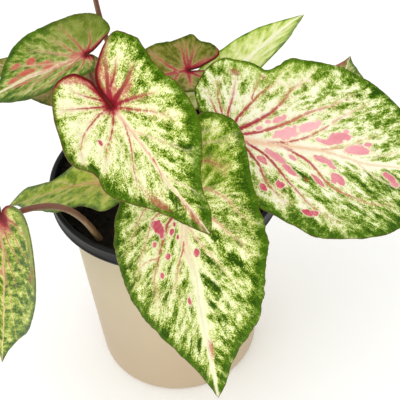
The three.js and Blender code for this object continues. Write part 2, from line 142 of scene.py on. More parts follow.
LEAVES["lower_front"] = dict(
    at=(10, -57, 160), heading=285, pitch=70, roll=-11, length=104, width=42, droop=-2, wave=1,
    right=[(9, 83), (19, 66), (34, 38), (39, 18), (39, -3), (25, -28), (20, -40), (9, -36), (1, -10)],
    left=[
        (6, 96), (13, 84), (27, 66), (32, 42), (36, 25), (33, 2),
        (30, -28), (20, -41), (9, -38), (1, -10),
    ],
    stem=dict(soil=(9, -22)),
    grid=(230, 56), colours="cream", green=0.1, band=(1.6, 2.2, 2.2, 4.2), midrib=5.6, peach=(2.2, -0.9),
    # the calm area at (-13, -20) and the greener wash there: painted shade, the front leaf's shadow on
    # this lobe
    solid=0.55, piping=0.5, streaks=0.7, uneven=1.3, calm=[(-13, -20, 20, 13, 0, 0.8)],
    washes=[
        (-26, 12, 28, 11, 0, -0.14), (-14, -24, 16, 14, 0, -0.08), (2, 60, 22, 6, 0, 0.14),
        # (-13, -20, 20, 13, 0, -0.1): greener, painted shade under the front leaf
        (20, 4, 22, 9, 0, 0.06), (-13, -20, 20, 13, 0, -0.1), (30, 2, 8, 5, 0, -0.16),
    ],
    veins=[
        [1.5, 0.03, (0, 0), (2, 9), (3, 20), (0, 35), (1, 54), (0, 80), (0, 104)],
        [0.9, 0.5, (2, 9), (4, 19), (8, 26), (11, 33), (13, 40)],
        [1.1, 0.7, (0, 0), (9, 4), (14, 12), (18, 18), (22, 26), (23, 33), (23, 41)],
        [0.5, 0.4, (18, 18), (25, 17), (32, 18)],
        [0.8, 0.45, (0, -2), (16, -1), (23, 8), (28, 15), (33, 25)],
        [0.8, 0.5, (0, -4), (10, -8), (20, -7), (27, -1), (35, 8)],
        [0.7, 0.2, (1, 6), (-2, 15), (-6, 23), (-11, 32), (-18, 45)],
        [0.8, 0.32, (0, 2), (-7, 5), (-13, 11), (-18, 18), (-23, 24), (-28, 34)],
        [0.9, 0.4, (0, -2), (-5, -5), (-10, -6), (-15, -3), (-20, 2), (-24, 9), (-29, 16)],
        [1.4, 1.6, (-1, -4), (-7, -15), (-11, -19), (-16, -17), (-21, -13)],
        [0.6, 0.3, (-1, -7), (-8, -24), (-13, -28), (-20, -27), (-27, -27)],
        [0.5, 0.2, (-4, -18), (-9, -29), (-13, -33), (-18, -34)],
        [0.6, 0, (1, 20), (-1, 29), (-7, 39), (-13, 51), (-18, 62)],
        [0.5, 0, (0, 45), (-3, 52), (-9, 62), (-12, 70)], [0.5, 0, (0, 36), (5, 46), (11, 56), (17, 64)],
        [0.4, 0, (0, 58), (5, 68), (8, 76)], [0.7, 0.8, (0, -2), (7, -14), (12, -24), (12, -35)],
        [0.6, 0.8, (0, -2), (12, -14), (22, -24)],
    ],
    pink=[
        (15, 5, 4.7, 2.4, -24, 0.9), (9, 9, 2, 1.1, 10, 0.9), (7, 6, 1.2, 0.9, 0, 1),
        (6, 13, 1.2, 0.9, 0, 1), (19, 11, 1.3, 1, 0, 0.8), (13, 20, 1.6, 1.2, 0, 0.8),
        (18, 27, 1.4, 1, 0, 0.8), (-2, 24, 2, 1.5, 0, 1), (6, 46, 2.4, 0.9, 0, 0.9),
    ],
    rust=[(-1, 76, 7, 1.5, 0, 0.7)],
    moss=[
        (-7, 44, 10.5, 2.2, -25), (-7.5, 58, 9, 1.8, -25), (-7, 29, 6, 1.8, -42),
        (-12, 18, 3.5, 2.2, 0), (-19, 32, 5.5, 1.8, -37), (6, 50, 5, 1.3, 0), (18, 38, 4, 1.5, 31),
        (5, 71, 6, 1.3, 8),
    ],
    crimson=(2, 5),
)
LEAVES["right"] = dict(
    at=(34, -11, 162), heading=356, pitch=14, roll=30, length=123, width=50, droop=12, wave=1.5,
    right=[(8, 113), (38, 81), (49, 47), (46, 31), (39, 14), (32, -21), (21, -29), (10, -25), (3, -12)],
    left=[
        (8, 111), (33, 78), (42, 52), (41, 24), (36, 17), (34, 12),
        (36, 5), (34, -12), (19, -21), (10, -18), (4, -14),
    ],
    stem=dict(soil=(21, -8)),
    grid=(240, 64), colours="milky", green=0.07, band=(2.3, 3.3, 0.4, 1.8), midrib=5.6, peach=(1, 0),
    piping=0.5, streaks=0.7, calm=[(-37, 12, 26, 10, 0, 0.7)], ink=((251, 188, 194), (198, 50, 82)),
    crisp=0.75,
    washes=[
        (0, 34, 46, 15, 0, 0.2), (6, 96, 24, 30, 0, -0.08), (36, 45, 34, 10, 0, -0.05),
        (16, 82, 18, 13, 0, -0.18), (-26, 72, 12, 7, 0, -0.12), (15, 84, 8, 7, 0, -0.1),
        (33, 58, 8, 6, 0, 0.12), (12, 42, 7, 5, 0, 0.12), (-24, -8, 10, 8, 0, 0.08),
        (27, 20, 7, 6, 0, -0.1),
    ],
    veins=[
        [1.6, 0.14, (0, 0), (2, 7), (2, 17), (1, 32), (0, 45), (1, 58), (2, 69), (0, 90), (0, 123)],
        [1.8, 0.85, (0, 1), (-3, 4), (-8, 11), (-14, 18), (-21, 23), (-27, 26), (-33, 33)],
        [1.6, 0.62, (0, 3), (-4, 15), (-10, 26), (-17, 36), (-23, 47), (-31, 58)],
        [0.9, 0.5, (1, 18), (-1, 28), (-5, 37), (-11, 45), (-20, 55), (-29, 67)],
        [0.6, 0.3, (0, 43), (-4, 57), (-10, 67), (-15, 75)],
        [1.2, 0.6, (1, 24), (4, 31), (7, 38), (12, 44), (19, 51), (22, 61), (24, 73), (22, 84)],
        [1.4, 0.85, (1, 4), (4, 9), (8, 17), (15, 24), (23, 31), (31, 39), (36, 47), (39, 54)],
        [1.4, 1.1, (0, 2), (8, 9), (14, 14), (23, 18), (28, 22), (35, 29)],
        [1.4, 0.9, (0, 0), (-6, 1), (-16, 7), (-23, 12), (-29, 19)],
        [0.5, 0.6, (-16, 7), (-23, 8), (-30, 9)], [1.2, 0.9, (0, -1), (-9, -3), (-18, -2), (-29, -2)],
        [0.9, 0.9, (0, -2), (-9, -6), (-16, -9), (-25, -11)], [0.8, 0.9, (0, -3), (-9, -9), (-18, -15)],
        [0.8, 0.7, (0, 0), (12, 2), (24, 5), (33, 12)], [0.7, 0.7, (0, -2), (12, -5), (26, -8)],
        [0.7, 0.7, (0, -4), (9, -13), (17, -21)], [0.5, 0.1, (1, 62), (8, 74), (12, 88), (12, 96)],
        [0.5, 0.1, (1, 68), (-6, 82), (-10, 94)], [0.4, 0.1, (0, 88), (5, 98), (6, 106)],
    ],
    pink=[
        (-5, 27, 6.4, 2.8, -24, 0.2), (-10, 37, 7, 2.2, -30, 0.1), (-11, 22, 3.4, 1.6, -30, 0.4),
        (-5, 13, 1.8, 1, -20, 0.4), (-9, 17, 1.6, 1, 0, 0.3), (-7, 52, 7, 2.6, -22, 0.5),
        (-4, 64, 6.4, 2.5, -8, 0.4), (-8, 69, 2.2, 1, -20, 0.5), (-12, 57, 1.8, 1, 0, 0.2),
        (-5, 43, 1.7, 0.9, 0, 0.3), (5, 46, 5.4, 1.9, 8, 0.5), (8, 51, 2.2, 1, 20, 0.5),
        (14, 54, 4, 2.8, 30, 0.6), (17, 44, 4.2, 1.4, 42, 0.7), (12, 16, 2.8, 2, 30, 0.8),
        (8, 22, 6.6, 2.2, 32, 0.5), (15, 30, 4.4, 1.3, 30, 0.7), (24, 25, 2.6, 1.9, 0, 1),
        (27, 17, 2.6, 1.5, 60, 1), (37, 38, 3.2, 1.9, 20, 1), (36, 42, 2, 1.6, 0, 1),
        (7, 82, 3.4, 1.9, 20, 0.7), (10, 85, 2, 1.5, 0, 0.7), (7, 31, 2.2, 1.2, 30, 0.5),
    ],
    rust=[(-30, -3, 3, 2, 0), (-30, 11, 1.6, 1.4, 0), (18, 38, 1.6, 1.3, 0)],
    moss=[(10, 27, 12, 0.9, 33), (17, 37, 3, 0.8, 45), (-30, 58, 5, 1.2, -30)],
    crimson=(2, 6),
)
LEAVES["upper_left"] = dict(
    at=(-33, 15, 194), heading=187, pitch=17, roll=-10, length=56, width=23, droop=5,
    right=[(4, 47), (15, 40), (23, 28), (24, 10), (23, -3), (18, -12), (9, -15), (4, -9), (1, -4)],
    left=[(5, 50), (13, 39), (18, 29), (18, 13), (17, 0), (14, -3), (9, -4), (5, -4), (1, -3)],
    stem=dict(soil=(-13, 4)),
    grid=(140, 40), colours="shaded", green=0.22, band=(1, 1.6, 1, 1.6), midrib=3.4, peach=(0.8, 0),
    crisp=0.4, veining=0.8, soft=0.25, calm=[(15, -2, 14, 9, 0, 0.8), (0, 20, 60, 40, 0, 0.25)],
    olive=[(16, -2, 15, 10, 0, 0.75)], ink=((222, 136, 116), (186, 70, 64)), ring=0.1,
    veins=[
        [1.2, 0.35, (0, 0), (0, 14), (1, 24), (1, 35), (0, 46), (0, 56)],
        [1, 0.6, (0, 1), (5, 6), (11, 10), (17, 15)], [1, 0.6, (0, 0), (9, 3), (15, 6), (21, 9)],
        [1, 0.35, (0, 3), (6, 12), (11, 19), (16, 28)], [1, 0.25, (0, 10), (4, 20), (8, 30), (11, 38)],
        [1.4, 0.8, (0, -1), (3, -2), (7, -4), (13, -5)], [2, 1.2, (0, -1), (3, -5), (5, -9)],
        [1, 0.4, (0, 4), (-2, 19), (-2, 33)], [1.1, 0.5, (0, 3), (-6, 12), (-12, 20), (-16, 29)],
        [1, 0.4, (0, 14), (-5, 24), (-10, 35)], [1.1, 0.6, (0, 0), (-8, 3), (-16, 9)],
        [1.1, 0.7, (0, -1), (-7, -2), (-13, -1)],
    ],
    pink=[
        (9, 27, 3, 1.8, 0, 0.8), (4, 30, 4.5, 1.6, 5, 0.8), (2, 19, 4, 1.2, 5, 0.7),
        (10, 35, 2.5, 1.5, 0, 0.8), (3, 38, 3, 1.2, 0, 0.7), (-2, 33, 5, 1, 0, 0.7),
        (5, 21, 4, 1, 10, 0.6), (2, 5, 3, 1.8, 0, 0.8),
    ],
    crimson=(4, 8),
)
LEAVES["lower_left"] = dict(
    at=(-72, -54, 158), heading=224, pitch=80, roll=1, length=91, width=40, droop=-8,
    left=[
        (5, 80), (16, 63), (29, 46), (39, 27), (47, 9), (50, -7),
        (46, -20), (34, -23), (20, -18), (8, -11), (1, -4),
    ],
    stem=dict(soil=(-33, -39), rise=0.66, reach=0.48, under=0, lean=1.2, sway=(3, -9), thick=1.1),
    grid=(160, 52), colours="lime", green=0.08, band=(1, 1, 1, 1.2), midrib=1.6,
    squeeze=0.42, slant=0.75, streaks=0, calm=[(0, 30, 90, 60, 0, 0.3)], network=0, veining=0.7, twigs=0,
    veins=[
        [1.4, 0.4, (0, 0), (0, 20), (0, 50), (0, 91)],
        [1.2, 0.8, (0, 5), (-6, 11), (-14, 13), (-22, 16), (-33, 24)],
        [1.2, 0.7, (0, 14), (-5, 23), (-12, 29), (-18, 36), (-25, 46)],
        [1, 0.5, (0, 26), (-3, 36), (-8, 46), (-12, 56), (-16, 64)],
        [1.3, 1, (0, 0), (-19, -7), (-32, -10), (-39, -5)],
        [1.1, 0.8, (0, 2), (-14, 3), (-28, 3), (-40, 6)],
        [1.5, 0.8, (0, 5), (8, 12), (18, 16), (30, 26)], [1.4, 0.7, (0, 15), (8, 26), (18, 38)],
        [1.2, 0.5, (0, 30), (6, 42), (12, 56)], [1.6, 1, (0, 0), (12, -3), (24, -8), (34, -10)],
        [1.4, 1, (0, -1), (8, -12), (17, -24)],
    ],
    rust=[(-44, -4, 9, 2.5, -5), (-37, 8, 3, 2, 0)],
    olive=[(-34, -17, 4.5, 9, 0, 0.8), (-44, -8, 13, 4.5, 0, 0.85)],
    crimson=(10, 14),
)
LEAVES["left"] = dict(
    at=(-29, -28, 150), heading=157, pitch=22, roll=-3, length=68, width=28, droop=15,
    twist=-4, curl=6,
    right=[(8, 58), (8, 45), (9, 33), (22, 14), (21, -2), (27, -19), (14, -25), (6, -21), (1, -7)],
    left=[(3, 57), (12, 43), (15, 32), (21, 14), (18, 1), (25, -17), (14, -23), (6, -20), (1, -7)],
    stem=dict(soil=(-18, -8)),
    grid=(130, 36), colours="plain", green=0.03, band=(1, 1.4, 1, 1.4), midrib=0.5,
    crisp=0.2, network=0, veining=0.4, streaks=0.3, twigs=0, calm=[(0, 20, 60, 40, 0, 0.3)],
    veins=[
        [1.4, 0.42, (0, 0), (1, 8), (1, 21), (-1, 36), (-2, 50), (0, 68)],
        [0.7, 0.3, (0, 2), (8, 10), (15, 18)], [0.7, 0.3, (0, 2), (-9, 8), (-17, 15)],
        [0.6, 0.15, (0, 16), (6, 30), (7, 42)], [0.6, 0.15, (0, 16), (-8, 28), (-12, 40)],
        [0.9, 0.5, (0, 0), (12, -8), (21, -15)], [0.9, 0.5, (0, 0), (-10, -8), (-19, -14)],
    ],
    crimson=(2, 5),
)
LEAVES["back"] = dict(
    at=(15, 30, 171), heading=198, pitch=-6, roll=-9, length=44, width=22, droop=12,
    right=[(5, 38), (14, 25), (19, 12), (19, 3), (21, -8), (17, -12), (13, -18), (6, -19), (1, -7)],
    stem=dict(soil=(1, 6)),
    grid=(110, 32), colours="olive", green=0.1, band=(1, 1.4, 1, 1.4), midrib=1, peach=(1, 0.8),
    crisp=0.5, network=0.3, veining=0.9,
    veins=[
        [1.6, 0.8, (0, 0), (0, 16), (0, 44)], [2.4, 1.2, (0, 0), (3, -6), (6, -13)],
        [1.7, 1.1, (0, 0), (6, 0), (12, -1), (17, 1)], [1.7, 1.1, (0, 0), (7, -4), (13, -8)],
        [1.4, 1, (0, 0), (7, -2), (16, -4)], [1.4, 0.7, (0, 5), (8, 11), (15, 16)],
        [1.2, 0.5, (0, 14), (7, 22), (12, 28)], [1.4, 0.7, (0, 5), (-8, 11), (-15, 16)],
        [1.2, 0.5, (0, 14), (-7, 22), (-12, 28)], [1.6, 1, (0, 0), (-8, 2), (-17, 5)],
        [1.8, 1.1, (0, 0), (-8, -5), (-15, -11)],
    ],
    crimson=(4, 12),
)
LEAVES["upper_right"] = dict(
    at=(32, 35, 155), heading=38, pitch=-30, roll=-17, length=61, width=23, droop=19,
    right=[(4, 56), (10, 48), (18, 39), (26, 27), (28, 8), (23, -14), (13, -22), (5, -19), (1, -6)],
    left=[(5, 53), (13, 39), (17, 26), (20, 10), (21, -5), (18, -16), (11, -22), (5, -19), (1, -6)],
    stem=dict(soil=(12, 12)),
    grid=(120, 32), colours="pale", green=0.06, band=(1, 2.4, 0.8, 1), midrib=4.5, peach=(0, 0),
    redness=0.1, crisp=0.3, network=0.1, veining=0.35,
    washes=[(0, 25, 40, 14, 0, 0.16)], calm=[(0, 20, 60, 40, 0, 0.3)],
    crimson=(2, 4),
)
LEAVES["far_right"] = dict(
    at=(89, 23, 144), heading=70, pitch=-6, roll=1, length=52, width=19, droop=9,
    stem=dict(soil=(24, 4), rise=0.5, under=0.3, lean=0.6),
    grid=(100, 26), colours="shaded", green=0.2, band=(1, 1, 1, 1), midrib=1.2, redness=0.4, veining=0.6,
    rust=[(-6, 40, 12, 4.5, 12, 0.4)],
    crimson=(2, 4),
)
LEAVES["far_left"] = dict(
    at=(-47, 33, 162), heading=152, pitch=-12, roll=-4, length=54, width=23, droop=18,
    left=[(3, 47), (10, 36), (17, 23), (21, 9), (20, -2), (16, -14), (10, -19), (4, -17), (1, -5)],
    stem=dict(soil=(-21, 12)),
    grid=(100, 30), colours="olive", green=0.05, band=(1, 1, 1, 1), midrib=1.2, redness=0.6, veining=0.7,
    crimson=(3, 6),
)
LEAVES["top"] = dict(
    at=(-26, 38, 225), heading=179, pitch=10, roll=-12, length=45, width=20, droop=6, wave=1,
    stem=dict(soil=(-5, 20), under=0, reach=0.45),
    grid=(100, 28), colours="shaded", green=0.1, band=(1, 1, 1, 1), midrib=1.2, redness=0.8, veining=0.8,
    crimson=(3, 6),
)

# Blade colours from cream to green, 0 to 255
PALETTES = dict(
    cream=[
        (0, (247, 248, 206)), (0.2, (238, 241, 176)), (0.36, (204, 215, 112)), (0.5, (142, 168, 46)),
        (0.68, (78, 114, 8)), (1, (32, 66, 2)),
    ],
    milky=[
        (0, (249, 249, 224)), (0.2, (242, 244, 200)), (0.36, (208, 218, 134)), (0.5, (146, 172, 62)),
        (0.68, (82, 118, 16)), (1, (34, 70, 4)),
    ],
    shaded=[
        (0, (206, 204, 150)), (0.3, (172, 180, 100)), (0.48, (124, 146, 54)), (0.68, (78, 112, 20)),
        (1, (40, 74, 6)),
    ],
    lime=[
        (0, (226, 226, 148)), (0.3, (186, 196, 84)), (0.5, (126, 152, 30)), (0.72, (74, 110, 8)),
        (1, (38, 74, 4)),
    ],
    plain=[
        (0, (192, 196, 94)), (0.35, (164, 178, 60)), (0.6, (118, 144, 30)), (0.8, (84, 116, 14)),
        (1, (46, 82, 6)),
    ],
    olive=[
        (0, (172, 148, 90)), (0.35, (140, 136, 62)), (0.6, (106, 112, 32)), (0.8, (80, 94, 18)),
        (1, (50, 66, 10)),
    ],
    pale=[
        (0, (240, 244, 188)), (0.35, (212, 224, 130)), (0.6, (162, 188, 66)), (0.8, (108, 146, 22)),
        (1, (54, 98, 8)),
    ],
)

VEIN_COLOURS = [
    (0, (240, 238, 190)), (0.15, (234, 190, 158)), (0.35, (194, 112, 88)), (0.6, (174, 46, 70)),
    (1, (142, 6, 42)),
]

# ---------------------------------------------------------------- handling pieces


def add(name, data):
    """Puts an object made of the given data into the scene."""
    made = bpy.data.objects.new(name, data)
    bpy.context.collection.objects.link(made)
    return made


def pick(piece):
    bpy.ops.object.select_all(action="DESELECT")
    piece.select_set(True)
    bpy.context.view_layer.objects.active = piece


def edit(piece):
    pick(piece)
    bpy.ops.object.mode_set(mode="EDIT")


def finish_edit():
    bpy.ops.object.mode_set(mode="OBJECT")


# ---------------------------------------------------------------- leaf surfaces


def spline(points, share):
    """Points at shares 0 to 1 of an even curve through the given ones."""
    points = np.array(points, float)
    run = (len(points) - 1) * np.asarray(share, float)
    at = np.clip(np.floor(run).astype(int), 0, len(points) - 2)
    u = (run - at)[..., None]
    p0, p1 = points[np.maximum(at - 1, 0)], points[at]
    p2, p3 = points[at + 1], points[np.minimum(at + 2, len(points) - 1)]
    v0, v1 = (p2 - p0) / 2, (p3 - p1) / 2
    return (2 * p1 - 2 * p2 + v0 + v1) * u**3 + (3 * p2 - 3 * p1 - 2 * v0 - v1) * u**2 + v0 * u + p1


def unit(v):
    return v / np.linalg.norm(v)


def blade_frame(leaf):
    """Tip direction, upward normal and right-hand direction at the stem."""
    a, p, r = (math.radians(leaf[k]) for k in ("heading", "pitch", "roll"))
    ahead = np.array((math.cos(a) * math.cos(p), math.sin(a) * math.cos(p), -math.sin(p)))
    level = np.array((math.cos(a) * math.sin(p), math.sin(a) * math.sin(p), math.cos(p)))
    aside = np.cross(ahead, level)
    normal = level * math.cos(r) + aside * math.sin(r)
    right = aside * math.cos(r) - level * math.sin(r)
    return ahead, normal, right


def bend(run, rate, slope=0):
    """How far on and how far off a strip is that turns by rate for each millimetre of its run."""
    rate = np.where(np.abs(rate) < 1e-6, 1e-6, rate)
    turn = slope + rate * run
    return (np.sin(turn) - math.sin(slope)) / rate, (math.cos(slope) - np.cos(turn)) / rate


def place(leaf, side, x, y, row=0, column=0):
    """Places points of the flat blade in space. Returns them and the blade's upward normal there."""
    ahead, normal, right = blade_frame(leaf)
    rate = np.where(y > 0, math.radians(leaf["droop"]), -math.radians(LOBE_DROP)) / leaf["length"]
    along, down = bend(y, rate)
    turn = (rate * y)[..., None]
    facing = normal * np.cos(turn) + ahead * np.sin(turn)
    twist = (math.radians(leaf.get("twist", 0)) * np.maximum(y / leaf["length"], 0))[..., None]
    across = right * np.cos(twist) - facing * np.sin(twist)
    out = facing * np.cos(twist) + right * np.sin(twist)
    curl = math.radians(leaf.get("curl", BLADE_CURL)) / leaf["width"]
    fold = math.radians(BLADE_FOLD)
    sideways, rise = bend(x, curl, fold)
    phase = 2 * math.pi * WAVE_COUNT * row + (0 if side > 0 else WAVE_SHIFT)
    wave = leaf.get("wave", 0) * column**2 * np.sin(phase)
    point = (
        np.array(leaf["at"]) + ahead * along[..., None] - normal * down[..., None]
        + across * (side * sideways)[..., None] + out * (rise + wave)[..., None]
    )
    tilt = (fold + curl * x)[..., None]
    return point, out * np.cos(tilt) - across * side * np.sin(tilt)


def outline(leaf, side):
    own = leaf.get("right" if side > 0 else "left")
    points = own or [(a * leaf["width"], b * leaf["length"]) for a, b in HEART]
    return [(0, leaf["length"])] + list(points)


def crumple(points, scale, layer):
    """Smooth noise at flat points, about -1 to 1."""
    return np.array([noise.noise((x * scale, y * scale, layer)) for x, y in points])


def half_blade(name, leaf, side, row, column):
    """One half: its flat points, the same in space, their normals, and its flat margin."""
    end = spline(outline(leaf, side), row)
    foot = leaf["length"] * np.maximum(1 - row / MIDRIB_SHARE, 0)
    layer = side + len(name)
    uneven = crumple(end, 0.16, layer) * 0.9 + crumple(end, 0.5, layer) * 0.45
    bumps = np.minimum(uneven * leaf.get("uneven", 0.7), 0.5)
    outward = end - np.stack((np.zeros(len(end)), foot), 1)
    outward /= (np.linalg.norm(outward, axis=1) + 1)[:, None]
    end = end + outward * (bumps * np.sin(np.pi * row) ** 0.5)[:, None]
    x = column * np.maximum(end[:, 0], 0)
    y = foot + (end[:, 1] - foot) * column
    point, normal = place(leaf, side, x, y, row, column)
    margin = end[:: leaf["grid"][1] + 1]
    return np.stack((side * x, y), 1), point, normal, np.concatenate((margin, [(0, 0)])) * (side, 1)


def sheet_faces(rows, columns):
    """Quads of a closed sheet over both halves, facing outwards. Its underside's points come last."""
    stride = columns + 1
    half = stride * (rows + 1)
    below = 2 * half
    quads = []
    for first, side in ((0, 1), (half, -1)):
        for i in range(rows):
            for j in range(columns):
                a = first + i * stride + j
                quad = (a, a + stride, a + stride + 1, a + 1)
                quad = quad[::-1] if side > 0 else quad
                quads.append(quad)
                quads.append(tuple(v + below for v in reversed(quad)))
            a = first + i * stride + columns
            edge = (a, a + stride, a + stride + below, a + below)
            quads.append(edge if side > 0 else edge[::-1])
        for j in range(columns):
            a = first + rows * stride + j
            edge = (a + 1, a, a + below, a + 1 + below)
            quads.append(edge if side > 0 else edge[::-1])
    return quads


# ---------------------------------------------------------------- what a blade's finish goes by

# Numbers kept at each vertex, three to a layer. Of the nearest vein: signed, the distance to its middle,
# below 0 on one side; thick, its half width; red and strong; reach, the distance to its edge. relief: the
# distance to any vein. pink, rust, moss and midrib: above 0 inside. heart: how crimson, and above 1.05 a
# painted shadow in the notch. rim: the distance to the margin; band: in widths of its green; middle: to
# the stem's top. under: 1 on the underside.
MARKS = dict(
    veins=("signed", "thick", "red"),
    reach=("reach", "strong", "relief"),
    spots=("pink", "depth", "rust"),
    bands=("midrib", "moss", "heart"),
    rim=("rim", "band", "middle"),
    hues=("peach", "lighter", "rose"),
    quiet=("calm", "olive", "under"),
)


def nearest(points, path):
    """Each point's distance to a path, its side (1 or -1), and the share of the path's length there."""
    best = np.full(len(points), 1e9)
    hand = np.ones(len(points))
    share = np.zeros(len(points))
    steps = np.diff(path, axis=0)
    lengths = np.linalg.norm(steps, axis=1) + 1e-9
    total, run = lengths.sum(), 0
    for start, step, length in zip(path, steps, lengths):
        off = points - start
        u = np.clip((off @ step) / length**2, 0, 1)
        gap = np.hypot(off[:, 0] - u * step[0], off[:, 1] - u * step[1])
        closer = gap < best
        best[closer] = gap[closer]
        hand[closer] = np.where(step[0] * off[:, 1] > step[1] * off[:, 0], 1, -1)[closer]
        share[closer] = (run + u[closer] * length) / total
        run += length
    return best, hand, share


def veins_of(leaf):
    """A leaf's own veins, or else a midrib, side veins along it and a fan in the lobes."""
    if "veins" in leaf:
        return leaf["veins"]
    length = leaf["length"]
    redness = leaf.get("redness", 1)
    veins = [[length / 75, 0.4 * redness, (0, 0), (0, length * 0.4), (0, length)]]
    for side in (1, -1):
        edge = outline(leaf, side)
        for start, share in SIDE_VEINS:
            end = spline(edge, share) * 0.93
            foot = np.array((0, start * length))
            middle = (foot + end) / 2 + np.array((0.06, -0.04)) * np.linalg.norm(end - foot)
            path = np.array((foot, middle, end)) * (side, 1)
            veins.append([length / 75, (0.8 - start) * redness, *path])
        for share in LOBE_VEINS:
            end = spline(edge, share) * 0.85
            path = np.array(((0, 0), end * 0.5 + (0.5, 1), end)) * (side, 1)
            veins.append([length / 70, redness, *path])
    return veins


def twigs(path, dice):
    """Short fine veins that fork off a vein on both sides."""
    steps = np.diff(path, axis=0)
    total = np.linalg.norm(steps, axis=1).sum()
    for i in range(3, len(path) - 2, 4):
        heading = unit(path[i + 1] - path[i - 1])
        for turn in (0.65, -0.65):
            a = turn * dice.uniform(0.8, 1.2)
            c, s = math.cos(a), math.sin(a)
            away = np.array((c * heading[0] - s * heading[1], s * heading[0] + c * heading[1]))
            reach = min(total * dice.uniform(0.12, 0.26), 9)
            forward = path[i] + away * reach * 0.5 + heading * reach * 0.08
            yield np.array((path[i], forward, path[i] + away * reach + heading * reach * 0.3))


def vein_marks(flat, leaf, dice):
    """The nearest vein of each point, and what it is like there."""
    marks = {kind: np.zeros(len(flat)) for kind in ("signed", "thick", "red", "strong")}
    marks |= {kind: np.full(len(flat), FAR) for kind in ("reach", "relief")}

    def draw(path, width, redness, strength, depth):
        gap, hand, share = nearest(flat, path)
        half = width * (1 - 0.65 * share) / 2
        fading_in = np.clip(share / 0.12 + (np.hypot(*path[0]) < 4), 0, 1)  # full at once near the stem
        drawn = dict(
            signed=gap * hand, thick=half, red=redness * (1 - 0.6 * share),
            strong=strength * (1 - share**3) * fading_in, reach=gap - half,
        )
        closer = drawn["reach"] < marks["reach"]
        for kind, values in drawn.items():
            marks[kind][closer] = values[closer]
        marks["relief"] = np.minimum(marks["relief"], gap + depth + 2 * share**3)

    for width, redness, *path in veins_of(leaf):
        path = spline(path, np.linspace(0, 1, 6 * len(path)))
        draw(path, width, redness, 1, 0)
        if width > 0.45 and leaf.get("twigs", 1):
            for twig in twigs(path, dice):
                draw(twig, 0.3, redness * 0.25, 0.3, 1)
    return marks


def midrib_marks(flat, leaf):
    """The pale band along the midrib."""
    gap, _, share = nearest(flat, spline(veins_of(leaf)[0][2:], np.linspace(0, 1, 40)))
    midrib = 1 - gap / (leaf["midrib"] / 2 * (1 - 0.75 * share))
    first, last = leaf.get("peach", (0.6, 0.3))
    return dict(midrib=np.maximum(midrib, -3), peach=first + (last - first) * np.minimum(1, 2 * share))


def margin_marks(flat, leaf, sides, rim):
    """Distance to the margin, also in widths of its green band, which widens towards the tip."""
    ahead = np.clip((flat[:, 1] / leaf["length"] + 0.15) / 0.5, 0, 1)
    lobe, tip = (np.where(sides > 0, leaf["band"][k], leaf["band"][k + 2]) for k in (0, 1))
    return dict(rim=rim, band=rim / (lobe + (tip - lobe) * ahead))


def crimson_marks(flat, leaf, rim):
    """Crimson round the stem's top and along the notch; above 1.05, painted shadow deep in the notch."""
    small, wide, aside = (*leaf["crimson"], 0)[:3]
    middle = np.linalg.norm(flat - (0, -1), axis=1)
    heart = np.clip(1.4 - middle / small, 0, 1) * 0.75
    far = np.clip(np.abs(flat[:, 0] - aside) / wide, 0, 1)
    notch = 1.3 * np.exp(-rim / (1.9 - 1.6 * far)) * np.clip((1 - far) / 0.25, 0, 1)
    return dict(middle=middle, heart=np.maximum(heart, notch * (flat[:, 1] < 0)))


def ellipse(points, x, y, long, wide, turn):
    """How far points lie from an ellipse's middle: 1 on the ellipse."""
    a = math.radians(turn)
    off = points - (x, y)
    ahead = (off[:, 0] * math.sin(a) + off[:, 1] * math.cos(a)) / long
    aside = (off[:, 0] * math.cos(a) - off[:, 1] * math.sin(a)) / wide
    return np.hypot(ahead, aside)


def areas(points, ellipses, steepness):
    """Soft-edged areas, added up."""
    total = np.zeros(len(points))
    for *where, strength in ellipses:
        total += strength * np.exp(-ellipse(points, *where) ** steepness)
    return total


def spots(points, ellipses, wobble):
    """Ragged spots, above 0 inside and below 0 outside, and the strength of each."""
    mask, strength = np.full(len(points), -1.0), np.zeros(len(points))
    for x, y, long, wide, turn, *given in ellipses:
        inside = (1 - ellipse(points, x, y, long, wide, turn)) * min(1, wide / 2)
        inside += wobble * min(0.5, wide * 0.2)
        closer = inside > mask
        mask[closer] = inside[closer]
        strength[closer] = given[0] if given else 0
    return mask, strength


def spot_marks(flat, leaf, name):
    wobble = crumple(flat, 0.35, len(name)) + 0.7 * crumple(flat, 0.9, 2.0)
    marks = {}
    marks["pink"], marks["depth"] = spots(flat, leaf.get("pink", []), wobble)
    marks["rust"], marks["rose"] = spots(flat, leaf.get("rust", []), wobble)
    marks["moss"], _ = spots(flat, leaf.get("moss", []), wobble)
    for kind, given, steepness in (("lighter", "washes", 2), ("olive", "olive", 2), ("calm", "calm", 4)):
        marks[kind] = areas(flat, leaf.get(given, []), steepness)
    marks["calm"] = np.minimum(marks["calm"], 0.95)
    return marks


def vein_grain(flat, sides, name):
    """Coordinates along and across the side veins, and in a fan behind them."""
    aside, ahead = np.abs(flat[:, 0]), flat[:, 1]
    forward = ahead - SIDE_VEIN_SLOPE * aside
    fan = math.atan2(1, SIDE_VEIN_SLOPE)
    along = np.where(forward > 0, aside / math.sin(fan), np.hypot(aside, ahead))
    across = np.where(forward > 0, forward * math.sin(fan), (fan - np.arctan2(aside, ahead)) * 22)
    return along, across + 60 * sides, np.full(len(flat), float(len(name)))


def level_grain(flat, leaf, name):
    """Plain coordinates on the blade, each leaf in its own layer of the noise."""
    y = flat[:, 1] + leaf.get("slant", 0) * np.abs(flat[:, 0])
    return flat[:, 0] * leaf.get("squeeze", 1), y, np.full(len(flat), 9.0 * len(name))


def write(mesh, layer, values):
    """Stores three numbers at each vertex."""
    made = mesh.attributes.new(layer, "FLOAT_VECTOR", "POINT")
    made.data.foreach_set("vector", np.stack(values, 1).astype(np.float32).ravel())


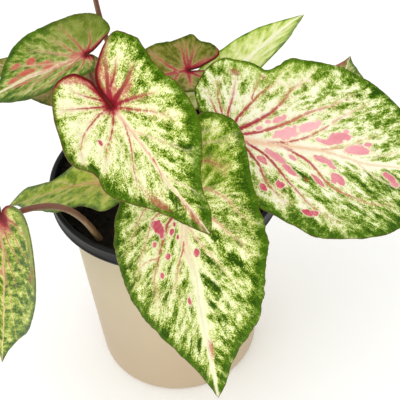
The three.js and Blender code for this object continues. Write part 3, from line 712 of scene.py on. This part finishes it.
def blade(name, leaf):
    """A thin closed sheet, quilted between its veins, which stand out below."""
    rows, columns = leaf["grid"]
    shares = [np.linspace(0, 1, count + 1) for count in (rows, columns)]
    row, column = (grid.ravel() for grid in np.meshgrid(*shares, indexing="ij"))
    right, left = (half_blade(name, leaf, side, row, column) for side in (1, -1))
    flat, points, normals = (np.concatenate((right[k], left[k])) for k in range(3))
    rim = np.concatenate([nearest(half[0], half[3])[0] for half in (right, left)])
    sides = np.repeat((1, -1), len(row))

    marks = vein_marks(flat, leaf, random.Random(name))
    marks |= midrib_marks(flat, leaf) | margin_marks(flat, leaf, sides, rim)
    marks |= crimson_marks(flat, leaf, rim) | spot_marks(flat, leaf, name)

    relief = marks["relief"]
    quilt = 0.5 * (1 - np.exp(-((relief / 2.2) ** 2))) * np.clip(rim / 4, 0, 1)
    ripple = crumple(flat, 0.11, 3.0 + len(name)) + 0.5 * crumple(flat, 0.3, 5.0)
    lift = quilt + 0.7 * ripple * np.clip(rim / 6, 0, 1) - 0.25
    ribs = 0.3 * np.exp(-((relief / 0.6) ** 2)) * np.clip(rim / 3, 0, 1)
    top = points + normals * (lift + SHEET / 2)[:, None]
    bottom = points + normals * (lift - SHEET / 2 - ribs)[:, None]

    mesh = bpy.data.meshes.new(name)
    mesh.from_pydata((np.concatenate((top, bottom)) * MM).tolist(), [], sheet_faces(rows, columns))
    piece = add(name, mesh)
    marks = {kind: np.tile(values, 2) for kind, values in marks.items()}
    marks["under"] = np.repeat((0, 1), len(flat))
    for layer, kinds in MARKS.items():
        write(mesh, layer, [marks[kind] for kind in kinds])
    grains = dict(grain=vein_grain(flat, sides, name), level=level_grain(flat, leaf, name))
    for layer, grain in grains.items():
        write(mesh, layer, [np.tile(values, 2) for values in grain])
    edit(piece)
    bpy.ops.mesh.select_all(action="SELECT")
    bpy.ops.mesh.remove_doubles(threshold=2e-6)
    bpy.ops.mesh.dissolve_degenerate(threshold=1e-6)
    finish_edit()
    bpy.ops.object.shade_smooth_by_angle(angle=math.radians(60))
    return piece


# ---------------------------------------------------------------- pots, soil and stems


def turned(name, sides, smooth, profile):
    """A disc drawn up ring by ring into a closed round form, through (radius, height) in millimetres."""
    radius, height = profile[0]
    bpy.ops.mesh.primitive_circle_add(
        vertices=sides, radius=radius * MM, fill_type="NGON", location=(0, 0, height * MM)
    )
    piece = bpy.context.object
    edit(piece)
    bpy.ops.mesh.select_all(action="SELECT")
    for (r0, z0), (r1, z1) in zip(profile, profile[1:]):
        bpy.ops.mesh.extrude_region_move(TRANSFORM_OT_translate={"value": (0, 0, (z1 - z0) * MM)})
        bpy.ops.transform.resize(value=(r1 / r0, r1 / r0, 1), center_override=(0, 0, 0))
    bpy.ops.mesh.select_all(action="SELECT")
    bpy.ops.mesh.normals_make_consistent(inside=False)
    finish_edit()
    bpy.ops.object.transform_apply(location=True, rotation=True, scale=True)
    piece.name = piece.data.name = name
    bpy.ops.object.shade_smooth_by_angle(angle=math.radians(smooth))
    return piece


def arc(x, z, radius, start, end, steps):
    """Points of a rounded edge, from one angle to another."""
    turns = [math.radians(start + (end - start) * i / steps) for i in range(steps + 1)]
    return [(x + radius * math.cos(a), z + radius * math.sin(a)) for a in turns]


def cover_pot():
    return turned("cream_pot", 128, 30, [
        (41.4, 0), *arc(41.9, 4.4, 4.4, -84, -4, 10), (46.9, 12), (51.6, 106),
        (51.79, 111.2), (51.9, 111.5), (52.5, 112.4), (57.6, 118),
        *arc(56.8, 119.2, 1.2, -20, 180, 10), (55.2, 118.8), (49.4, 112.5), (43.9, 5), (41.9, 3), (6, 3),
    ])


def nursery_pot():
    pot = turned("black_pot", 128, 30, [
        (41.5, 6), (42, 6.4), (48.9, 112.7), (56.1, 120.7), (58.7, 120.7), (59.6, 121), (60, 121.7),
        (60, 122.4), (59.7, 122.9), (59.6, 124), (59.7, 126.6),
        *arc(58.7, 128.6, 1.3, -30, 180, 12), (57.6, 127.6), (58.3, 126.6),
        (58.4, 122.1), (55.5, 122.1), (47.5, 113.2), (40.8, 8.4), (39.8, 7.4), (6, 7.4),
    ])
    drills = []
    for i in range(DRAIN_HOLES):
        a = 2 * math.pi * i / DRAIN_HOLES
        bpy.ops.mesh.primitive_cylinder_add(
            vertices=24, radius=DRAIN_RADIUS * MM, depth=8 * MM,
            location=(DRAIN_RING * MM * math.cos(a), DRAIN_RING * MM * math.sin(a), 6.7 * MM),
        )
        drills.append(bpy.context.object)
    for drill in drills:
        drill.select_set(True)
    bpy.ops.object.join()
    drill = bpy.context.object
    pick(pot)
    cut = pot.modifiers.new("drain holes", "BOOLEAN")
    cut.operation, cut.object, cut.solver = "DIFFERENCE", drill, "EXACT"
    bpy.ops.object.modifier_apply(modifier=cut.name)
    bpy.data.objects.remove(drill)
    return pot


def heap(x, y):
    """Height of the soil, but for its crumbs."""
    return SOIL_LEVEL + SOIL_RELIEF * math.sin(x / 7 + 1) * math.cos(y / 9)


def loose_crumbs(dice):
    """Small flattened lumps, thrown over the soil."""
    places = []
    for _ in range(CRUMBS):
        away, a = CRUMBS_REACH * math.sqrt(dice.random()), dice.uniform(0, 2 * math.pi)
        x, y = away * math.cos(a), away * math.sin(a)
        size = dice.choice(CRUMB_SIZES)
        turn = Matrix.Rotation(dice.uniform(0, 6.3), 4, Vector((dice.random(), dice.random(), 1)))
        shape = Matrix.Diagonal((size * dice.uniform(0.8, 1.7), size, size * dice.uniform(0.5, 0.9), 1))
        places.append((Vector((x, y, heap(x, y) + 0.2)), turn @ shape))
    bpy.ops.mesh.primitive_ico_sphere_add(subdivisions=1, radius=1)
    pebble = bpy.context.object
    corners = [v.co.copy() for v in pebble.data.vertices]
    triangles = [tuple(p.vertices) for p in pebble.data.polygons]
    bpy.data.objects.remove(pebble)
    coords, faces = [], []
    for centre, shape in places:
        first = len(coords)
        coords += [(centre + shape @ (v * dice.uniform(0.8, 1.15))) * MM for v in corners]
        faces += [tuple(first + k for k in triangle) for triangle in triangles]
    mesh = bpy.data.meshes.new("crumbs")
    mesh.from_pydata(coords, [], faces)
    return add("crumbs", mesh)


def soil():
    body = turned("potting_soil", 120, 80, [
        (40, 7.7), (47.2, 113.4), (55.2, 122.4), (58.1, 122.5), (58, 123.2),
        *((r, SOIL_LEVEL) for r in np.arange(56.4, 1, -1.6)),
    ])
    for v in body.data.vertices:
        if v.co.z > (SOIL_LEVEL - 0.5) * MM:
            x, y = v.co.x / MM, v.co.y / MM
            crumb = noise.noise((x * 0.45, y * 0.45, 0)) + 0.6 * noise.noise((x * 1.3, y * 1.3, 4))
            v.co.z = (heap(x, y) + 0.7 * crumb) * MM
    crumbs = loose_crumbs(random.Random(5))
    pick(body)
    crumbs.select_set(True)
    bpy.ops.object.join()
    return body


def bezier(a, b, c, d, share):
    u = share[:, None]
    return (1 - u) ** 3 * a + 3 * (1 - u) ** 2 * u * b + 3 * (1 - u) * u * u * c + u**3 * d


def stalk_path(leaf):
    """Points from the corm, through the soil, to the blade's underside.

    A leaf's stem says where it leaves the soil; rise and reach, how far its bends lie from there and
    from its top, as shares of the distance; sway, how far the lower bend is moved; under and lean, how
    far it arrives square to the blade and outwards, rather than upright; and how thick it is.
    """
    given = leaf["stem"]
    ground = np.array(given["soil"], float)
    _, normal, _ = blade_frame(leaf)
    up = np.array((0, 0, 1.0))
    seat = place(leaf, 1, np.array([0.0]), np.array([STEM_SEAT]))[0][0]
    foot = np.array((*ground, SOIL_LEVEL))
    distance = np.linalg.norm(seat - foot)
    outward = unit((seat - foot) * (1, 1, 0))
    lower = foot + unit(up + outward * 0.25) * distance * given.get("rise", 0.4)
    lower += np.array((*given.get("sway", (0, 0)), 0))
    under, lean = given.get("under", 0.55), given.get("lean", 0)
    arriving = unit(normal * under + outward * lean + up * (1 - under - lean))
    end = (STEM_TOP + STEM_FLARE) * given.get("thick", 1)
    seat = seat - normal * (STEM_BELOW + end * (1 - arriving @ normal))
    upper = seat - arriving * distance * given.get("reach", 0.3)

    crown = np.array((*ground, 0)) * min(CROWN_SPREAD, CROWN_RADIUS / np.linalg.norm(ground))
    crown[2] = CORM_HALF_HEIGHT * math.sqrt(1 - crown @ crown / CORM_RADIUS**2)
    slope = unit(crown / (CORM_RADIUS**2, CORM_RADIUS**2, CORM_HALF_HEIGHT**2))
    crown = crown + CORM_CENTRE + slope * CROWN_GAP
    depth = 0.4 * np.linalg.norm(foot - crown)
    below = foot - unit(lower - foot) * depth
    buried = bezier(crown, crown + slope * depth, below, foot, np.linspace(0, 1, 16))
    free = bezier(foot, lower, upper, seat, 1 - (1 - np.linspace(0, 1, 48)) ** 1.7)
    return np.concatenate((buried[:-1], free))


def stem(name, leaf):
    """A tapered stalk with a flared, rounded top."""
    path = stalk_path(leaf)
    lengths = np.concatenate(([0], np.cumsum(np.linalg.norm(np.diff(path, axis=0), axis=1))))
    left = lengths[-1] - lengths
    share = lengths / lengths[-1]
    radius = (STEM_FOOT + (STEM_TOP - STEM_FOOT) * share) * leaf["stem"].get("thick", 1)
    radius += STEM_FLARE * np.exp(-((left / 3) ** 2))
    radius *= np.sqrt(1 - (1 - np.clip(left / radius, 0, 1)) ** 2 * 0.98)
    curve = bpy.data.curves.new(name, "CURVE")
    curve.dimensions = "3D"
    curve.bevel_depth = MM
    curve.bevel_resolution = 4
    curve.use_fill_caps = True
    line = curve.splines.new("POLY")
    line.points.add(len(path) - 1)
    for point, co, r in zip(line.points, path, radius):
        point.co = (*(co * MM), 1)
        point.radius = r
    pick(add(name, curve))
    bpy.ops.object.convert(target="MESH")
    piece = bpy.context.object
    edit(piece)
    bpy.ops.mesh.select_all(action="SELECT")
    bpy.ops.mesh.remove_doubles(threshold=1e-6)
    bpy.ops.mesh.normals_make_consistent(inside=False)
    finish_edit()
    bpy.ops.object.shade_smooth_by_angle(angle=math.radians(50))

    # how far up each vertex is, and on which side of the stalk
    here = np.array([v.co for v in piece.data.vertices]) / MM
    near = np.array([np.argmin(((path - p) ** 2).sum(1)) for p in here])
    offset = here - path[near]
    tangent = np.gradient(path, axis=0)[near]
    tangent /= np.linalg.norm(tangent, axis=1)[:, None]
    side = np.cross(tangent, (0.2, 0.1, 1))
    side /= np.linalg.norm(side, axis=1)[:, None]
    around = np.arctan2((np.cross(tangent, side) * offset).sum(1), (side * offset).sum(1))
    write(piece.data, "stalk", (share[near], lengths[near], np.sin(around)))
    return piece


# ---------------------------------------------------------------- finishes


def operation(name, swapped=False):
    """A method of Value that adds a maths node."""
    def method(self, *others):
        values = (*others, self) if swapped else (self, *others)
        return self.finish.node("ShaderNodeMath", dict(operation=name), dict(enumerate(values)))
    return method


class Value:
    """A socket of a node, used in expressions."""

    def __init__(self, finish, socket):
        self.finish, self.socket = finish, socket

    __add__ = __radd__ = operation("ADD")
    __mul__ = __rmul__ = operation("MULTIPLY")
    __sub__ = operation("SUBTRACT")
    __rsub__ = operation("SUBTRACT", swapped=True)
    absolute = operation("ABSOLUTE")
    least = operation("MINIMUM")
    most = operation("MAXIMUM")

    def step(self, low, high):
        """Goes smoothly from 0 to 1 between two values."""
        sockets = {"Value": self, "From Min": low, "From Max": high}
        return self.finish.node("ShaderNodeMapRange", dict(interpolation_type="SMOOTHSTEP"), sockets)


class Finish:
    """A material built from nodes."""

    def __init__(self, name, **sockets):
        self.material = bpy.data.materials.new(name)
        self.material.use_nodes = True
        self.tree = self.material.node_tree
        self.set(**sockets)

    def set(self, **sockets):
        for key, value in sockets.items():
            self.feed(self.tree.nodes["Principled BSDF"].inputs[key.replace("_", " ")], value)
        return self.material

    def feed(self, socket, value):
        if isinstance(value, Value):
            self.tree.links.new(value.socket, socket)
        else:
            socket.default_value = value

    def node(self, kind, settings, sockets, out=0):
        made = self.tree.nodes.new(kind)
        for key, value in settings.items():
            setattr(made, key, value)
        for key, value in sockets.items():
            self.feed(made.inputs[key], value)
        return Value(self, made.outputs[out])

    def attribute(self, name):
        return self.node("ShaderNodeAttribute", dict(attribute_name=name), {}, out="Vector")

    def where(self):
        return self.node("ShaderNodeTexCoord", {}, {}, out="Object")

    def parts(self, vector):
        return [self.node("ShaderNodeSeparateXYZ", {}, {0: vector}, out=k) for k in range(3)]

    def stretch(self, vector, scale):
        return self.node("ShaderNodeVectorMath", dict(operation="MULTIPLY"), {0: vector, 1: scale})

    def noise(self, vector, scale, detail, roughness):
        sockets = {"Vector": vector, "Scale": scale, "Detail": detail, "Roughness": roughness}
        return self.node("ShaderNodeTexNoise", {}, sockets, out="Fac")

    def bump(self, height, strength, distance):
        sockets = {"Height": height, "Strength": strength, "Distance": distance}
        return self.node("ShaderNodeBump", {}, sockets)

    def mix(self, factor, low, high):
        low, high = (c if isinstance(c, Value) else (*linear(c), 1) for c in (low, high))
        return self.node("ShaderNodeMix", dict(data_type="RGBA"), {0: factor, 6: low, 7: high}, out=2)

    def ramp(self, factor, stops):
        made = self.tree.nodes.new("ShaderNodeValToRGB")
        elements = made.color_ramp.elements
        while len(elements) < len(stops):
            elements.new(0.5)
        for element, (position, colour) in zip(elements, stops):
            element.position, element.color = position, (*linear(colour), 1)
        self.feed(made.inputs[0], factor)
        return Value(self, made.outputs["Color"])


def linear(colour):
    """A colour given as on a screen, 0 to 255, as the shader's linear one."""
    return [((c / 255 + 0.055) / 1.055) ** 2.4 if c > 10 else c / 255 / 12.92 for c in colour]


def blade_marks(f, leaf):
    """The numbers kept on a blade, the noise laid over it, and how strongly a vein shows."""
    m = SimpleNamespace()
    for layer, kinds in MARKS.items():
        vars(m).update(zip(kinds, f.parts(f.attribute(layer))))
    grain, level = f.attribute("grain"), f.attribute("level")
    squeeze, streaks = leaf.get("squeeze", 1), leaf.get("streaks", 0.6)
    streak = f.noise(f.stretch(grain, (0.09 * squeeze, 0.26, 1)), 1, 3, 0.6) - 0.5
    m.blotch = f.noise(level, 0.26, 3, 0.6) - 0.5
    m.cluster = streak * streaks + m.blotch * (1 - streaks)
    m.speck = f.noise(level, 1.4, 4, 0.85) - 0.5
    m.fine = f.noise(level, 2.6, 2, 0.7) - 0.5
    cells = {"Vector": f.stretch(grain, (0.2 * squeeze, 0.42, 1)), "Scale": 1}
    m.net = f.node("ShaderNodeTexVoronoi", dict(feature="DISTANCE_TO_EDGE"), cells)
    m.gap = (m.signed.absolute() - m.thick).most(m.reach - 0.45)
    vein = (1 - m.gap.step(-0.1, 0.35)) * m.strong * (m.band + m.red).step(0.3, 1.2)
    m.vein = vein * leaf.get("veining", 1) * (1 - m.moss.step(-0.1, 0.2) * 0.9)
    return m


def ground_layer(f, leaf, m, _):
    """Granular green clusters between the veins, cream beside them, and solid green at the margin."""
    crisp = leaf.get("crisp", 1)
    pattern = m.cluster * 2.9 + m.speck * (2.2 * crisp) + m.fine * (1.3 * crisp)
    amount = 0.26 + leaf["green"] + pattern * (1 - m.calm * 0.7) - m.lighter
    network = (1 - m.net.step(0, 0.14)) * 0.16 * leaf.get("network", 1)
    amount = amount + (m.reach.step(0, 2.6) * 0.24 - network) * (1 - m.calm * 0.6)
    amount = amount - (m.midrib + m.speck).step(-0.9, 0.5) * 0.42
    amount = amount + (1 - (m.band + m.cluster * 2.5).step(0.4, 2.4)) * 0.3
    m.amount = amount + (m.moss + m.speck).step(-0.2, 0.3) * 0.44
    colour = f.ramp(m.amount, PALETTES[leaf["colours"]])
    edge = 1 - (m.band + m.speck * 2.4 + m.fine + m.cluster * 2).step(0.65, 1.1)
    green = f.mix(m.fine + m.speck + 0.5, (44, 84, 3), (88, 132, 12))
    colour = f.mix(edge * leaf.get("solid", 0.35), colour, green)
    if "olive" in leaf:
        green = f.mix(m.blotch * 4 + m.speck * 2 + 0.5, (100, 120, 26), (172, 178, 92))
        colour = f.mix(m.olive, colour, green)
    return colour


def vein_layer(f, leaf, m, colour):
    """A pale band along the midrib, a blush beside the veins and round the stem, and the veins."""
    warm = f.mix(m.peach, (249, 246, 222), (238, 190, 166))
    colour = f.mix((m.midrib + m.fine * 0.6).step(-0.2, 0.7) * 0.8, colour, warm)
    blush = (1 - m.reach.step(0, 1.6)) * m.red * 0.4 + m.heart * 0.4
    blush = blush + (1 - m.middle.step(4, 16)) * m.red * 0.25
    colour = f.mix(blush.least(0.85), colour, (226, 156, 134))
    return f.mix(m.vein * 0.96, colour, f.ramp(m.red, VEIN_COLOURS))


def spot_layer(f, leaf, m, colour):
    """Pink spots, each in a pale ring, and brown blemishes."""
    ink = leaf.get("ink", ((238, 160, 172), (196, 48, 80)))
    spot = m.pink + m.speck * 0.5
    colour = f.mix(spot.step(-0.36, -0.1) * leaf.get("ring", 0.7), colour, (244, 228, 196))
    mottle = (m.cluster * 3 + m.speck * 2 + 0.4).step(0, 1) * 0.4
    tint = f.mix(mottle, f.mix(m.depth, *ink), ink[0])
    soft = 0.06 + leaf.get("soft", 0)
    colour = f.mix(spot.step(-soft, soft) * (1 - m.vein * 0.8), colour, tint)
    blemish = (m.rust + m.speck * 1.6 + m.fine * m.rose * 2.4).step(-0.2, 0.5)
    brown = f.mix(m.rose, (154, 84, 56), (206, 106, 104))
    return f.mix(blemish * (1 - m.vein * 0.85) * 0.75, colour, brown)


def edge_layer(f, leaf, m, colour):
    """Crimson round the stem's top, brown painted shadow in the notch, and a thin brown edge to the blade.
    """
    flush = f.mix(m.heart.step(0.5, 0.85), (166, 24, 56), (96, 2, 20))
    # the notch's deepest point goes dark brown: a painted shadow where the two lobes overlap
    flush = f.mix(m.heart.step(1.05, 1.25), flush, (58, 40, 22))
    colour = f.mix((m.heart + m.speck * 0.8).step(0.1, 0.75), colour, flush)
    piping = f.mix(m.middle.step(16, 34), (112, 30, 30), (96, 62, 34))
    return f.mix((1 - m.rim.step(0.15, 0.6)) * leaf.get("piping", 0.3), colour, piping)


def under_layer(f, leaf, m, colour):
    """On the underside, a paler and duller copy with pale veins."""
    dull = f.mix(m.amount.step(0.2, 0.9), (196, 204, 160), (140, 166, 112))
    below = f.mix(0.55 + m.speck * 0.2, colour, dull)
    ribs = f.mix(m.red, (206, 206, 162), (186, 120, 100))
    below = f.mix((1 - m.gap.step(0, 0.7)) * m.strong * 0.75, below, ribs)
    return f.mix(m.under.step(0.6, 1), colour, below)


def blade_finish(name, leaf):
    f = Finish(name, Specular_IOR_Level=0.16, Specular_Tint=(*linear((214, 230, 120)), 1))
    m = blade_marks(f, leaf)
    colour = None
    for layer in (ground_layer, vein_layer, spot_layer, edge_layer, under_layer):
        colour = layer(f, leaf, m, colour)
    height = m.fine * 0.5 + m.speck * 0.9 + m.relief.step(0, 1.4) * 0.6 + m.net.step(0, 0.3) * 0.35
    rough = 0.4 + m.speck * 0.35 + m.under * 0.2
    return f.set(Base_Color=colour, Roughness=rough, Normal=f.bump(height, 0.55, 0.0005))


def stem_finish():
    f = Finish("leaf stalk", Specular_IOR_Level=0.25)
    share, _, belly = f.parts(f.attribute("stalk"))
    streak = f.noise(f.stretch(f.where(), (900, 900, 120)), 1, 3, 0.6)
    skin = f.ramp(share, [
        (0, (200, 180, 142)), (0.3, (152, 120, 86)), (0.6, (140, 106, 82)), (0.85, (126, 82, 66)),
        (1, (128, 44, 44)),
    ])
    # paler tan on the stalk's underside: partly its own colour, partly a painted highlight
    skin = f.mix(belly.step(-0.3, 0.7) * 0.6, skin, (172, 150, 108))
    skin = f.mix(streak.step(0.35, 0.7) * 0.3, skin, (98, 56, 42))
    return f.set(Base_Color=skin, Roughness=0.38 + streak * 0.15, Normal=f.bump(streak, 0.3, 0.0003))


def cream_finish():
    f = Finish("cream pot", Specular_IOR_Level=0.4)
    where = f.where()
    soft = f.noise(where, 14, 2, 0.5)
    grain = f.noise(where, 900, 2, 0.6)
    height = f.parts(where)[2]
    colour = f.mix(soft, (194, 175, 146), (187, 166, 136))
    # paler towards the top, from 20 to 110 mm up: painted light, leaving the pot's foot in painted shade
    colour = f.mix(height.step(0.02, 0.11), colour, (206, 191, 160))
    colour = f.mix(grain.step(0.4, 0.8) * 0.12, colour, (186, 164, 134))
    return f.set(Base_Color=colour, Roughness=0.46 + soft * 0.1, Normal=f.bump(grain, 0.12, 0.0002))


def black_finish():
    f = Finish("black plastic", Specular_IOR_Level=0.25)
    where = f.where()
    soft = f.noise(where, 30, 3, 0.6)
    grain = f.noise(where, 1400, 2, 0.5)
    colour = f.mix(soft, (30, 31, 32), (20, 21, 22))
    return f.set(Base_Color=colour, Roughness=0.4 + soft * 0.16, Normal=f.bump(grain, 0.2, 0.0001))


def soil_finish():
    f = Finish("potting mix", Roughness=0.95, Specular_IOR_Level=0.2)
    where = f.where()
    clump = f.noise(where, 140, 4, 0.7)
    grain = f.noise(where, 700, 3, 0.7)
    colour = f.ramp(clump * 0.6 + grain * 0.4, [
        (0.3, (14, 11, 9)), (0.5, (26, 20, 15)), (0.62, (48, 37, 26)), (0.75, (78, 62, 42)),
    ])
    return f.set(Base_Color=colour, Normal=f.bump(grain, 0.8, 0.0008))


def corm_finish():
    f = Finish("corm skin", Roughness=0.9)
    rings = f.noise(f.stretch(f.where(), (60, 60, 420)), 1, 3, 0.6)
    colour = f.ramp(rings, [(0.3, (60, 38, 24)), (0.6, (112, 78, 50)), (0.8, (140, 104, 70))])
    return f.set(Base_Color=colour, Normal=f.bump(rings, 0.6, 0.001))


def floor_finish():
    f = Finish(
        "white paper", Roughness=0.9, Specular_IOR_Level=0.1,
        Emission_Color=(1, 1, 1, 1), Emission_Strength=0.1,
    )
    grain = f.noise(f.where(), 60, 2, 0.5)
    return f.set(Base_Color=f.mix(grain, (250, 250, 249), (247, 247, 246)))


# ---------------------------------------------------------------- putting it together


def dress(piece, node, material):
    piece.data.materials.append(material)
    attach(piece, "root")
    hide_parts(node)


def area_light(name, place_, aim, size, power):
    data = bpy.data.lights.new(name, "AREA")
    data.size, data.energy = size, power
    light = add(name, data)
    light.location = place_
    light.rotation_euler = (Vector(aim) - Vector(place_)).to_track_quat("-Z", "Y").to_euler()


def camera(eye, looks_down, turned_by):
    """A camera at eye, in metres, facing along +Y. Its angles are in degrees."""
    data = bpy.data.cameras.new("camera")
    data.lens, data.sensor_width, data.sensor_fit = 76.5, 36, "HORIZONTAL"
    data.clip_start, data.clip_end = 0.01, 50
    made = add("camera", data)
    tilt = Matrix.Rotation(math.radians(90 - looks_down), 4, "X")
    roll = Matrix.Rotation(math.radians(turned_by), 4, "Z")
    made.matrix_world = Matrix.Translation(eye) @ tilt @ roll
    bpy.context.scene.camera = made


stalk_skin = stem_finish()
for leaf_name, leaf in LEAVES.items():
    skin = blade_finish("blade " + leaf_name, leaf)
    dress(blade("blade_" + leaf_name, leaf), "leaf_" + leaf_name, skin)
    dress(stem("stalk_" + leaf_name, leaf), "stem_" + leaf_name, stalk_skin)
dress(cover_pot(), "cover_pot", cream_finish())
dress(nursery_pot(), "grow_pot", black_finish())
dress(soil(), "soil", soil_finish())
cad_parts["tuber"].material_slots[0].material = corm_finish()

bpy.ops.mesh.primitive_plane_add(size=8)
floor = bpy.context.object
floor.name = "floor"
floor.data.materials.append(floor_finish())

world = bpy.data.worlds.new("studio")
world.use_nodes = True
background = world.node_tree.nodes["Background"]
background.inputs["Color"].default_value = (1, 1, 1, 1)
background.inputs["Strength"].default_value = 0.95
bpy.context.scene.world = world
bpy.context.scene.view_settings.view_transform = "Standard"
area_light("key", (-0.6, -0.5, 1.2), (0, 0, 0.12), 1.2, 4.5)
area_light("fill", (0.2, -1.3, 0.7), (0, 0, 0.12), 1.2, 3)
camera((0.0171, -0.3273, 0.4217), 43.73, -3.45)
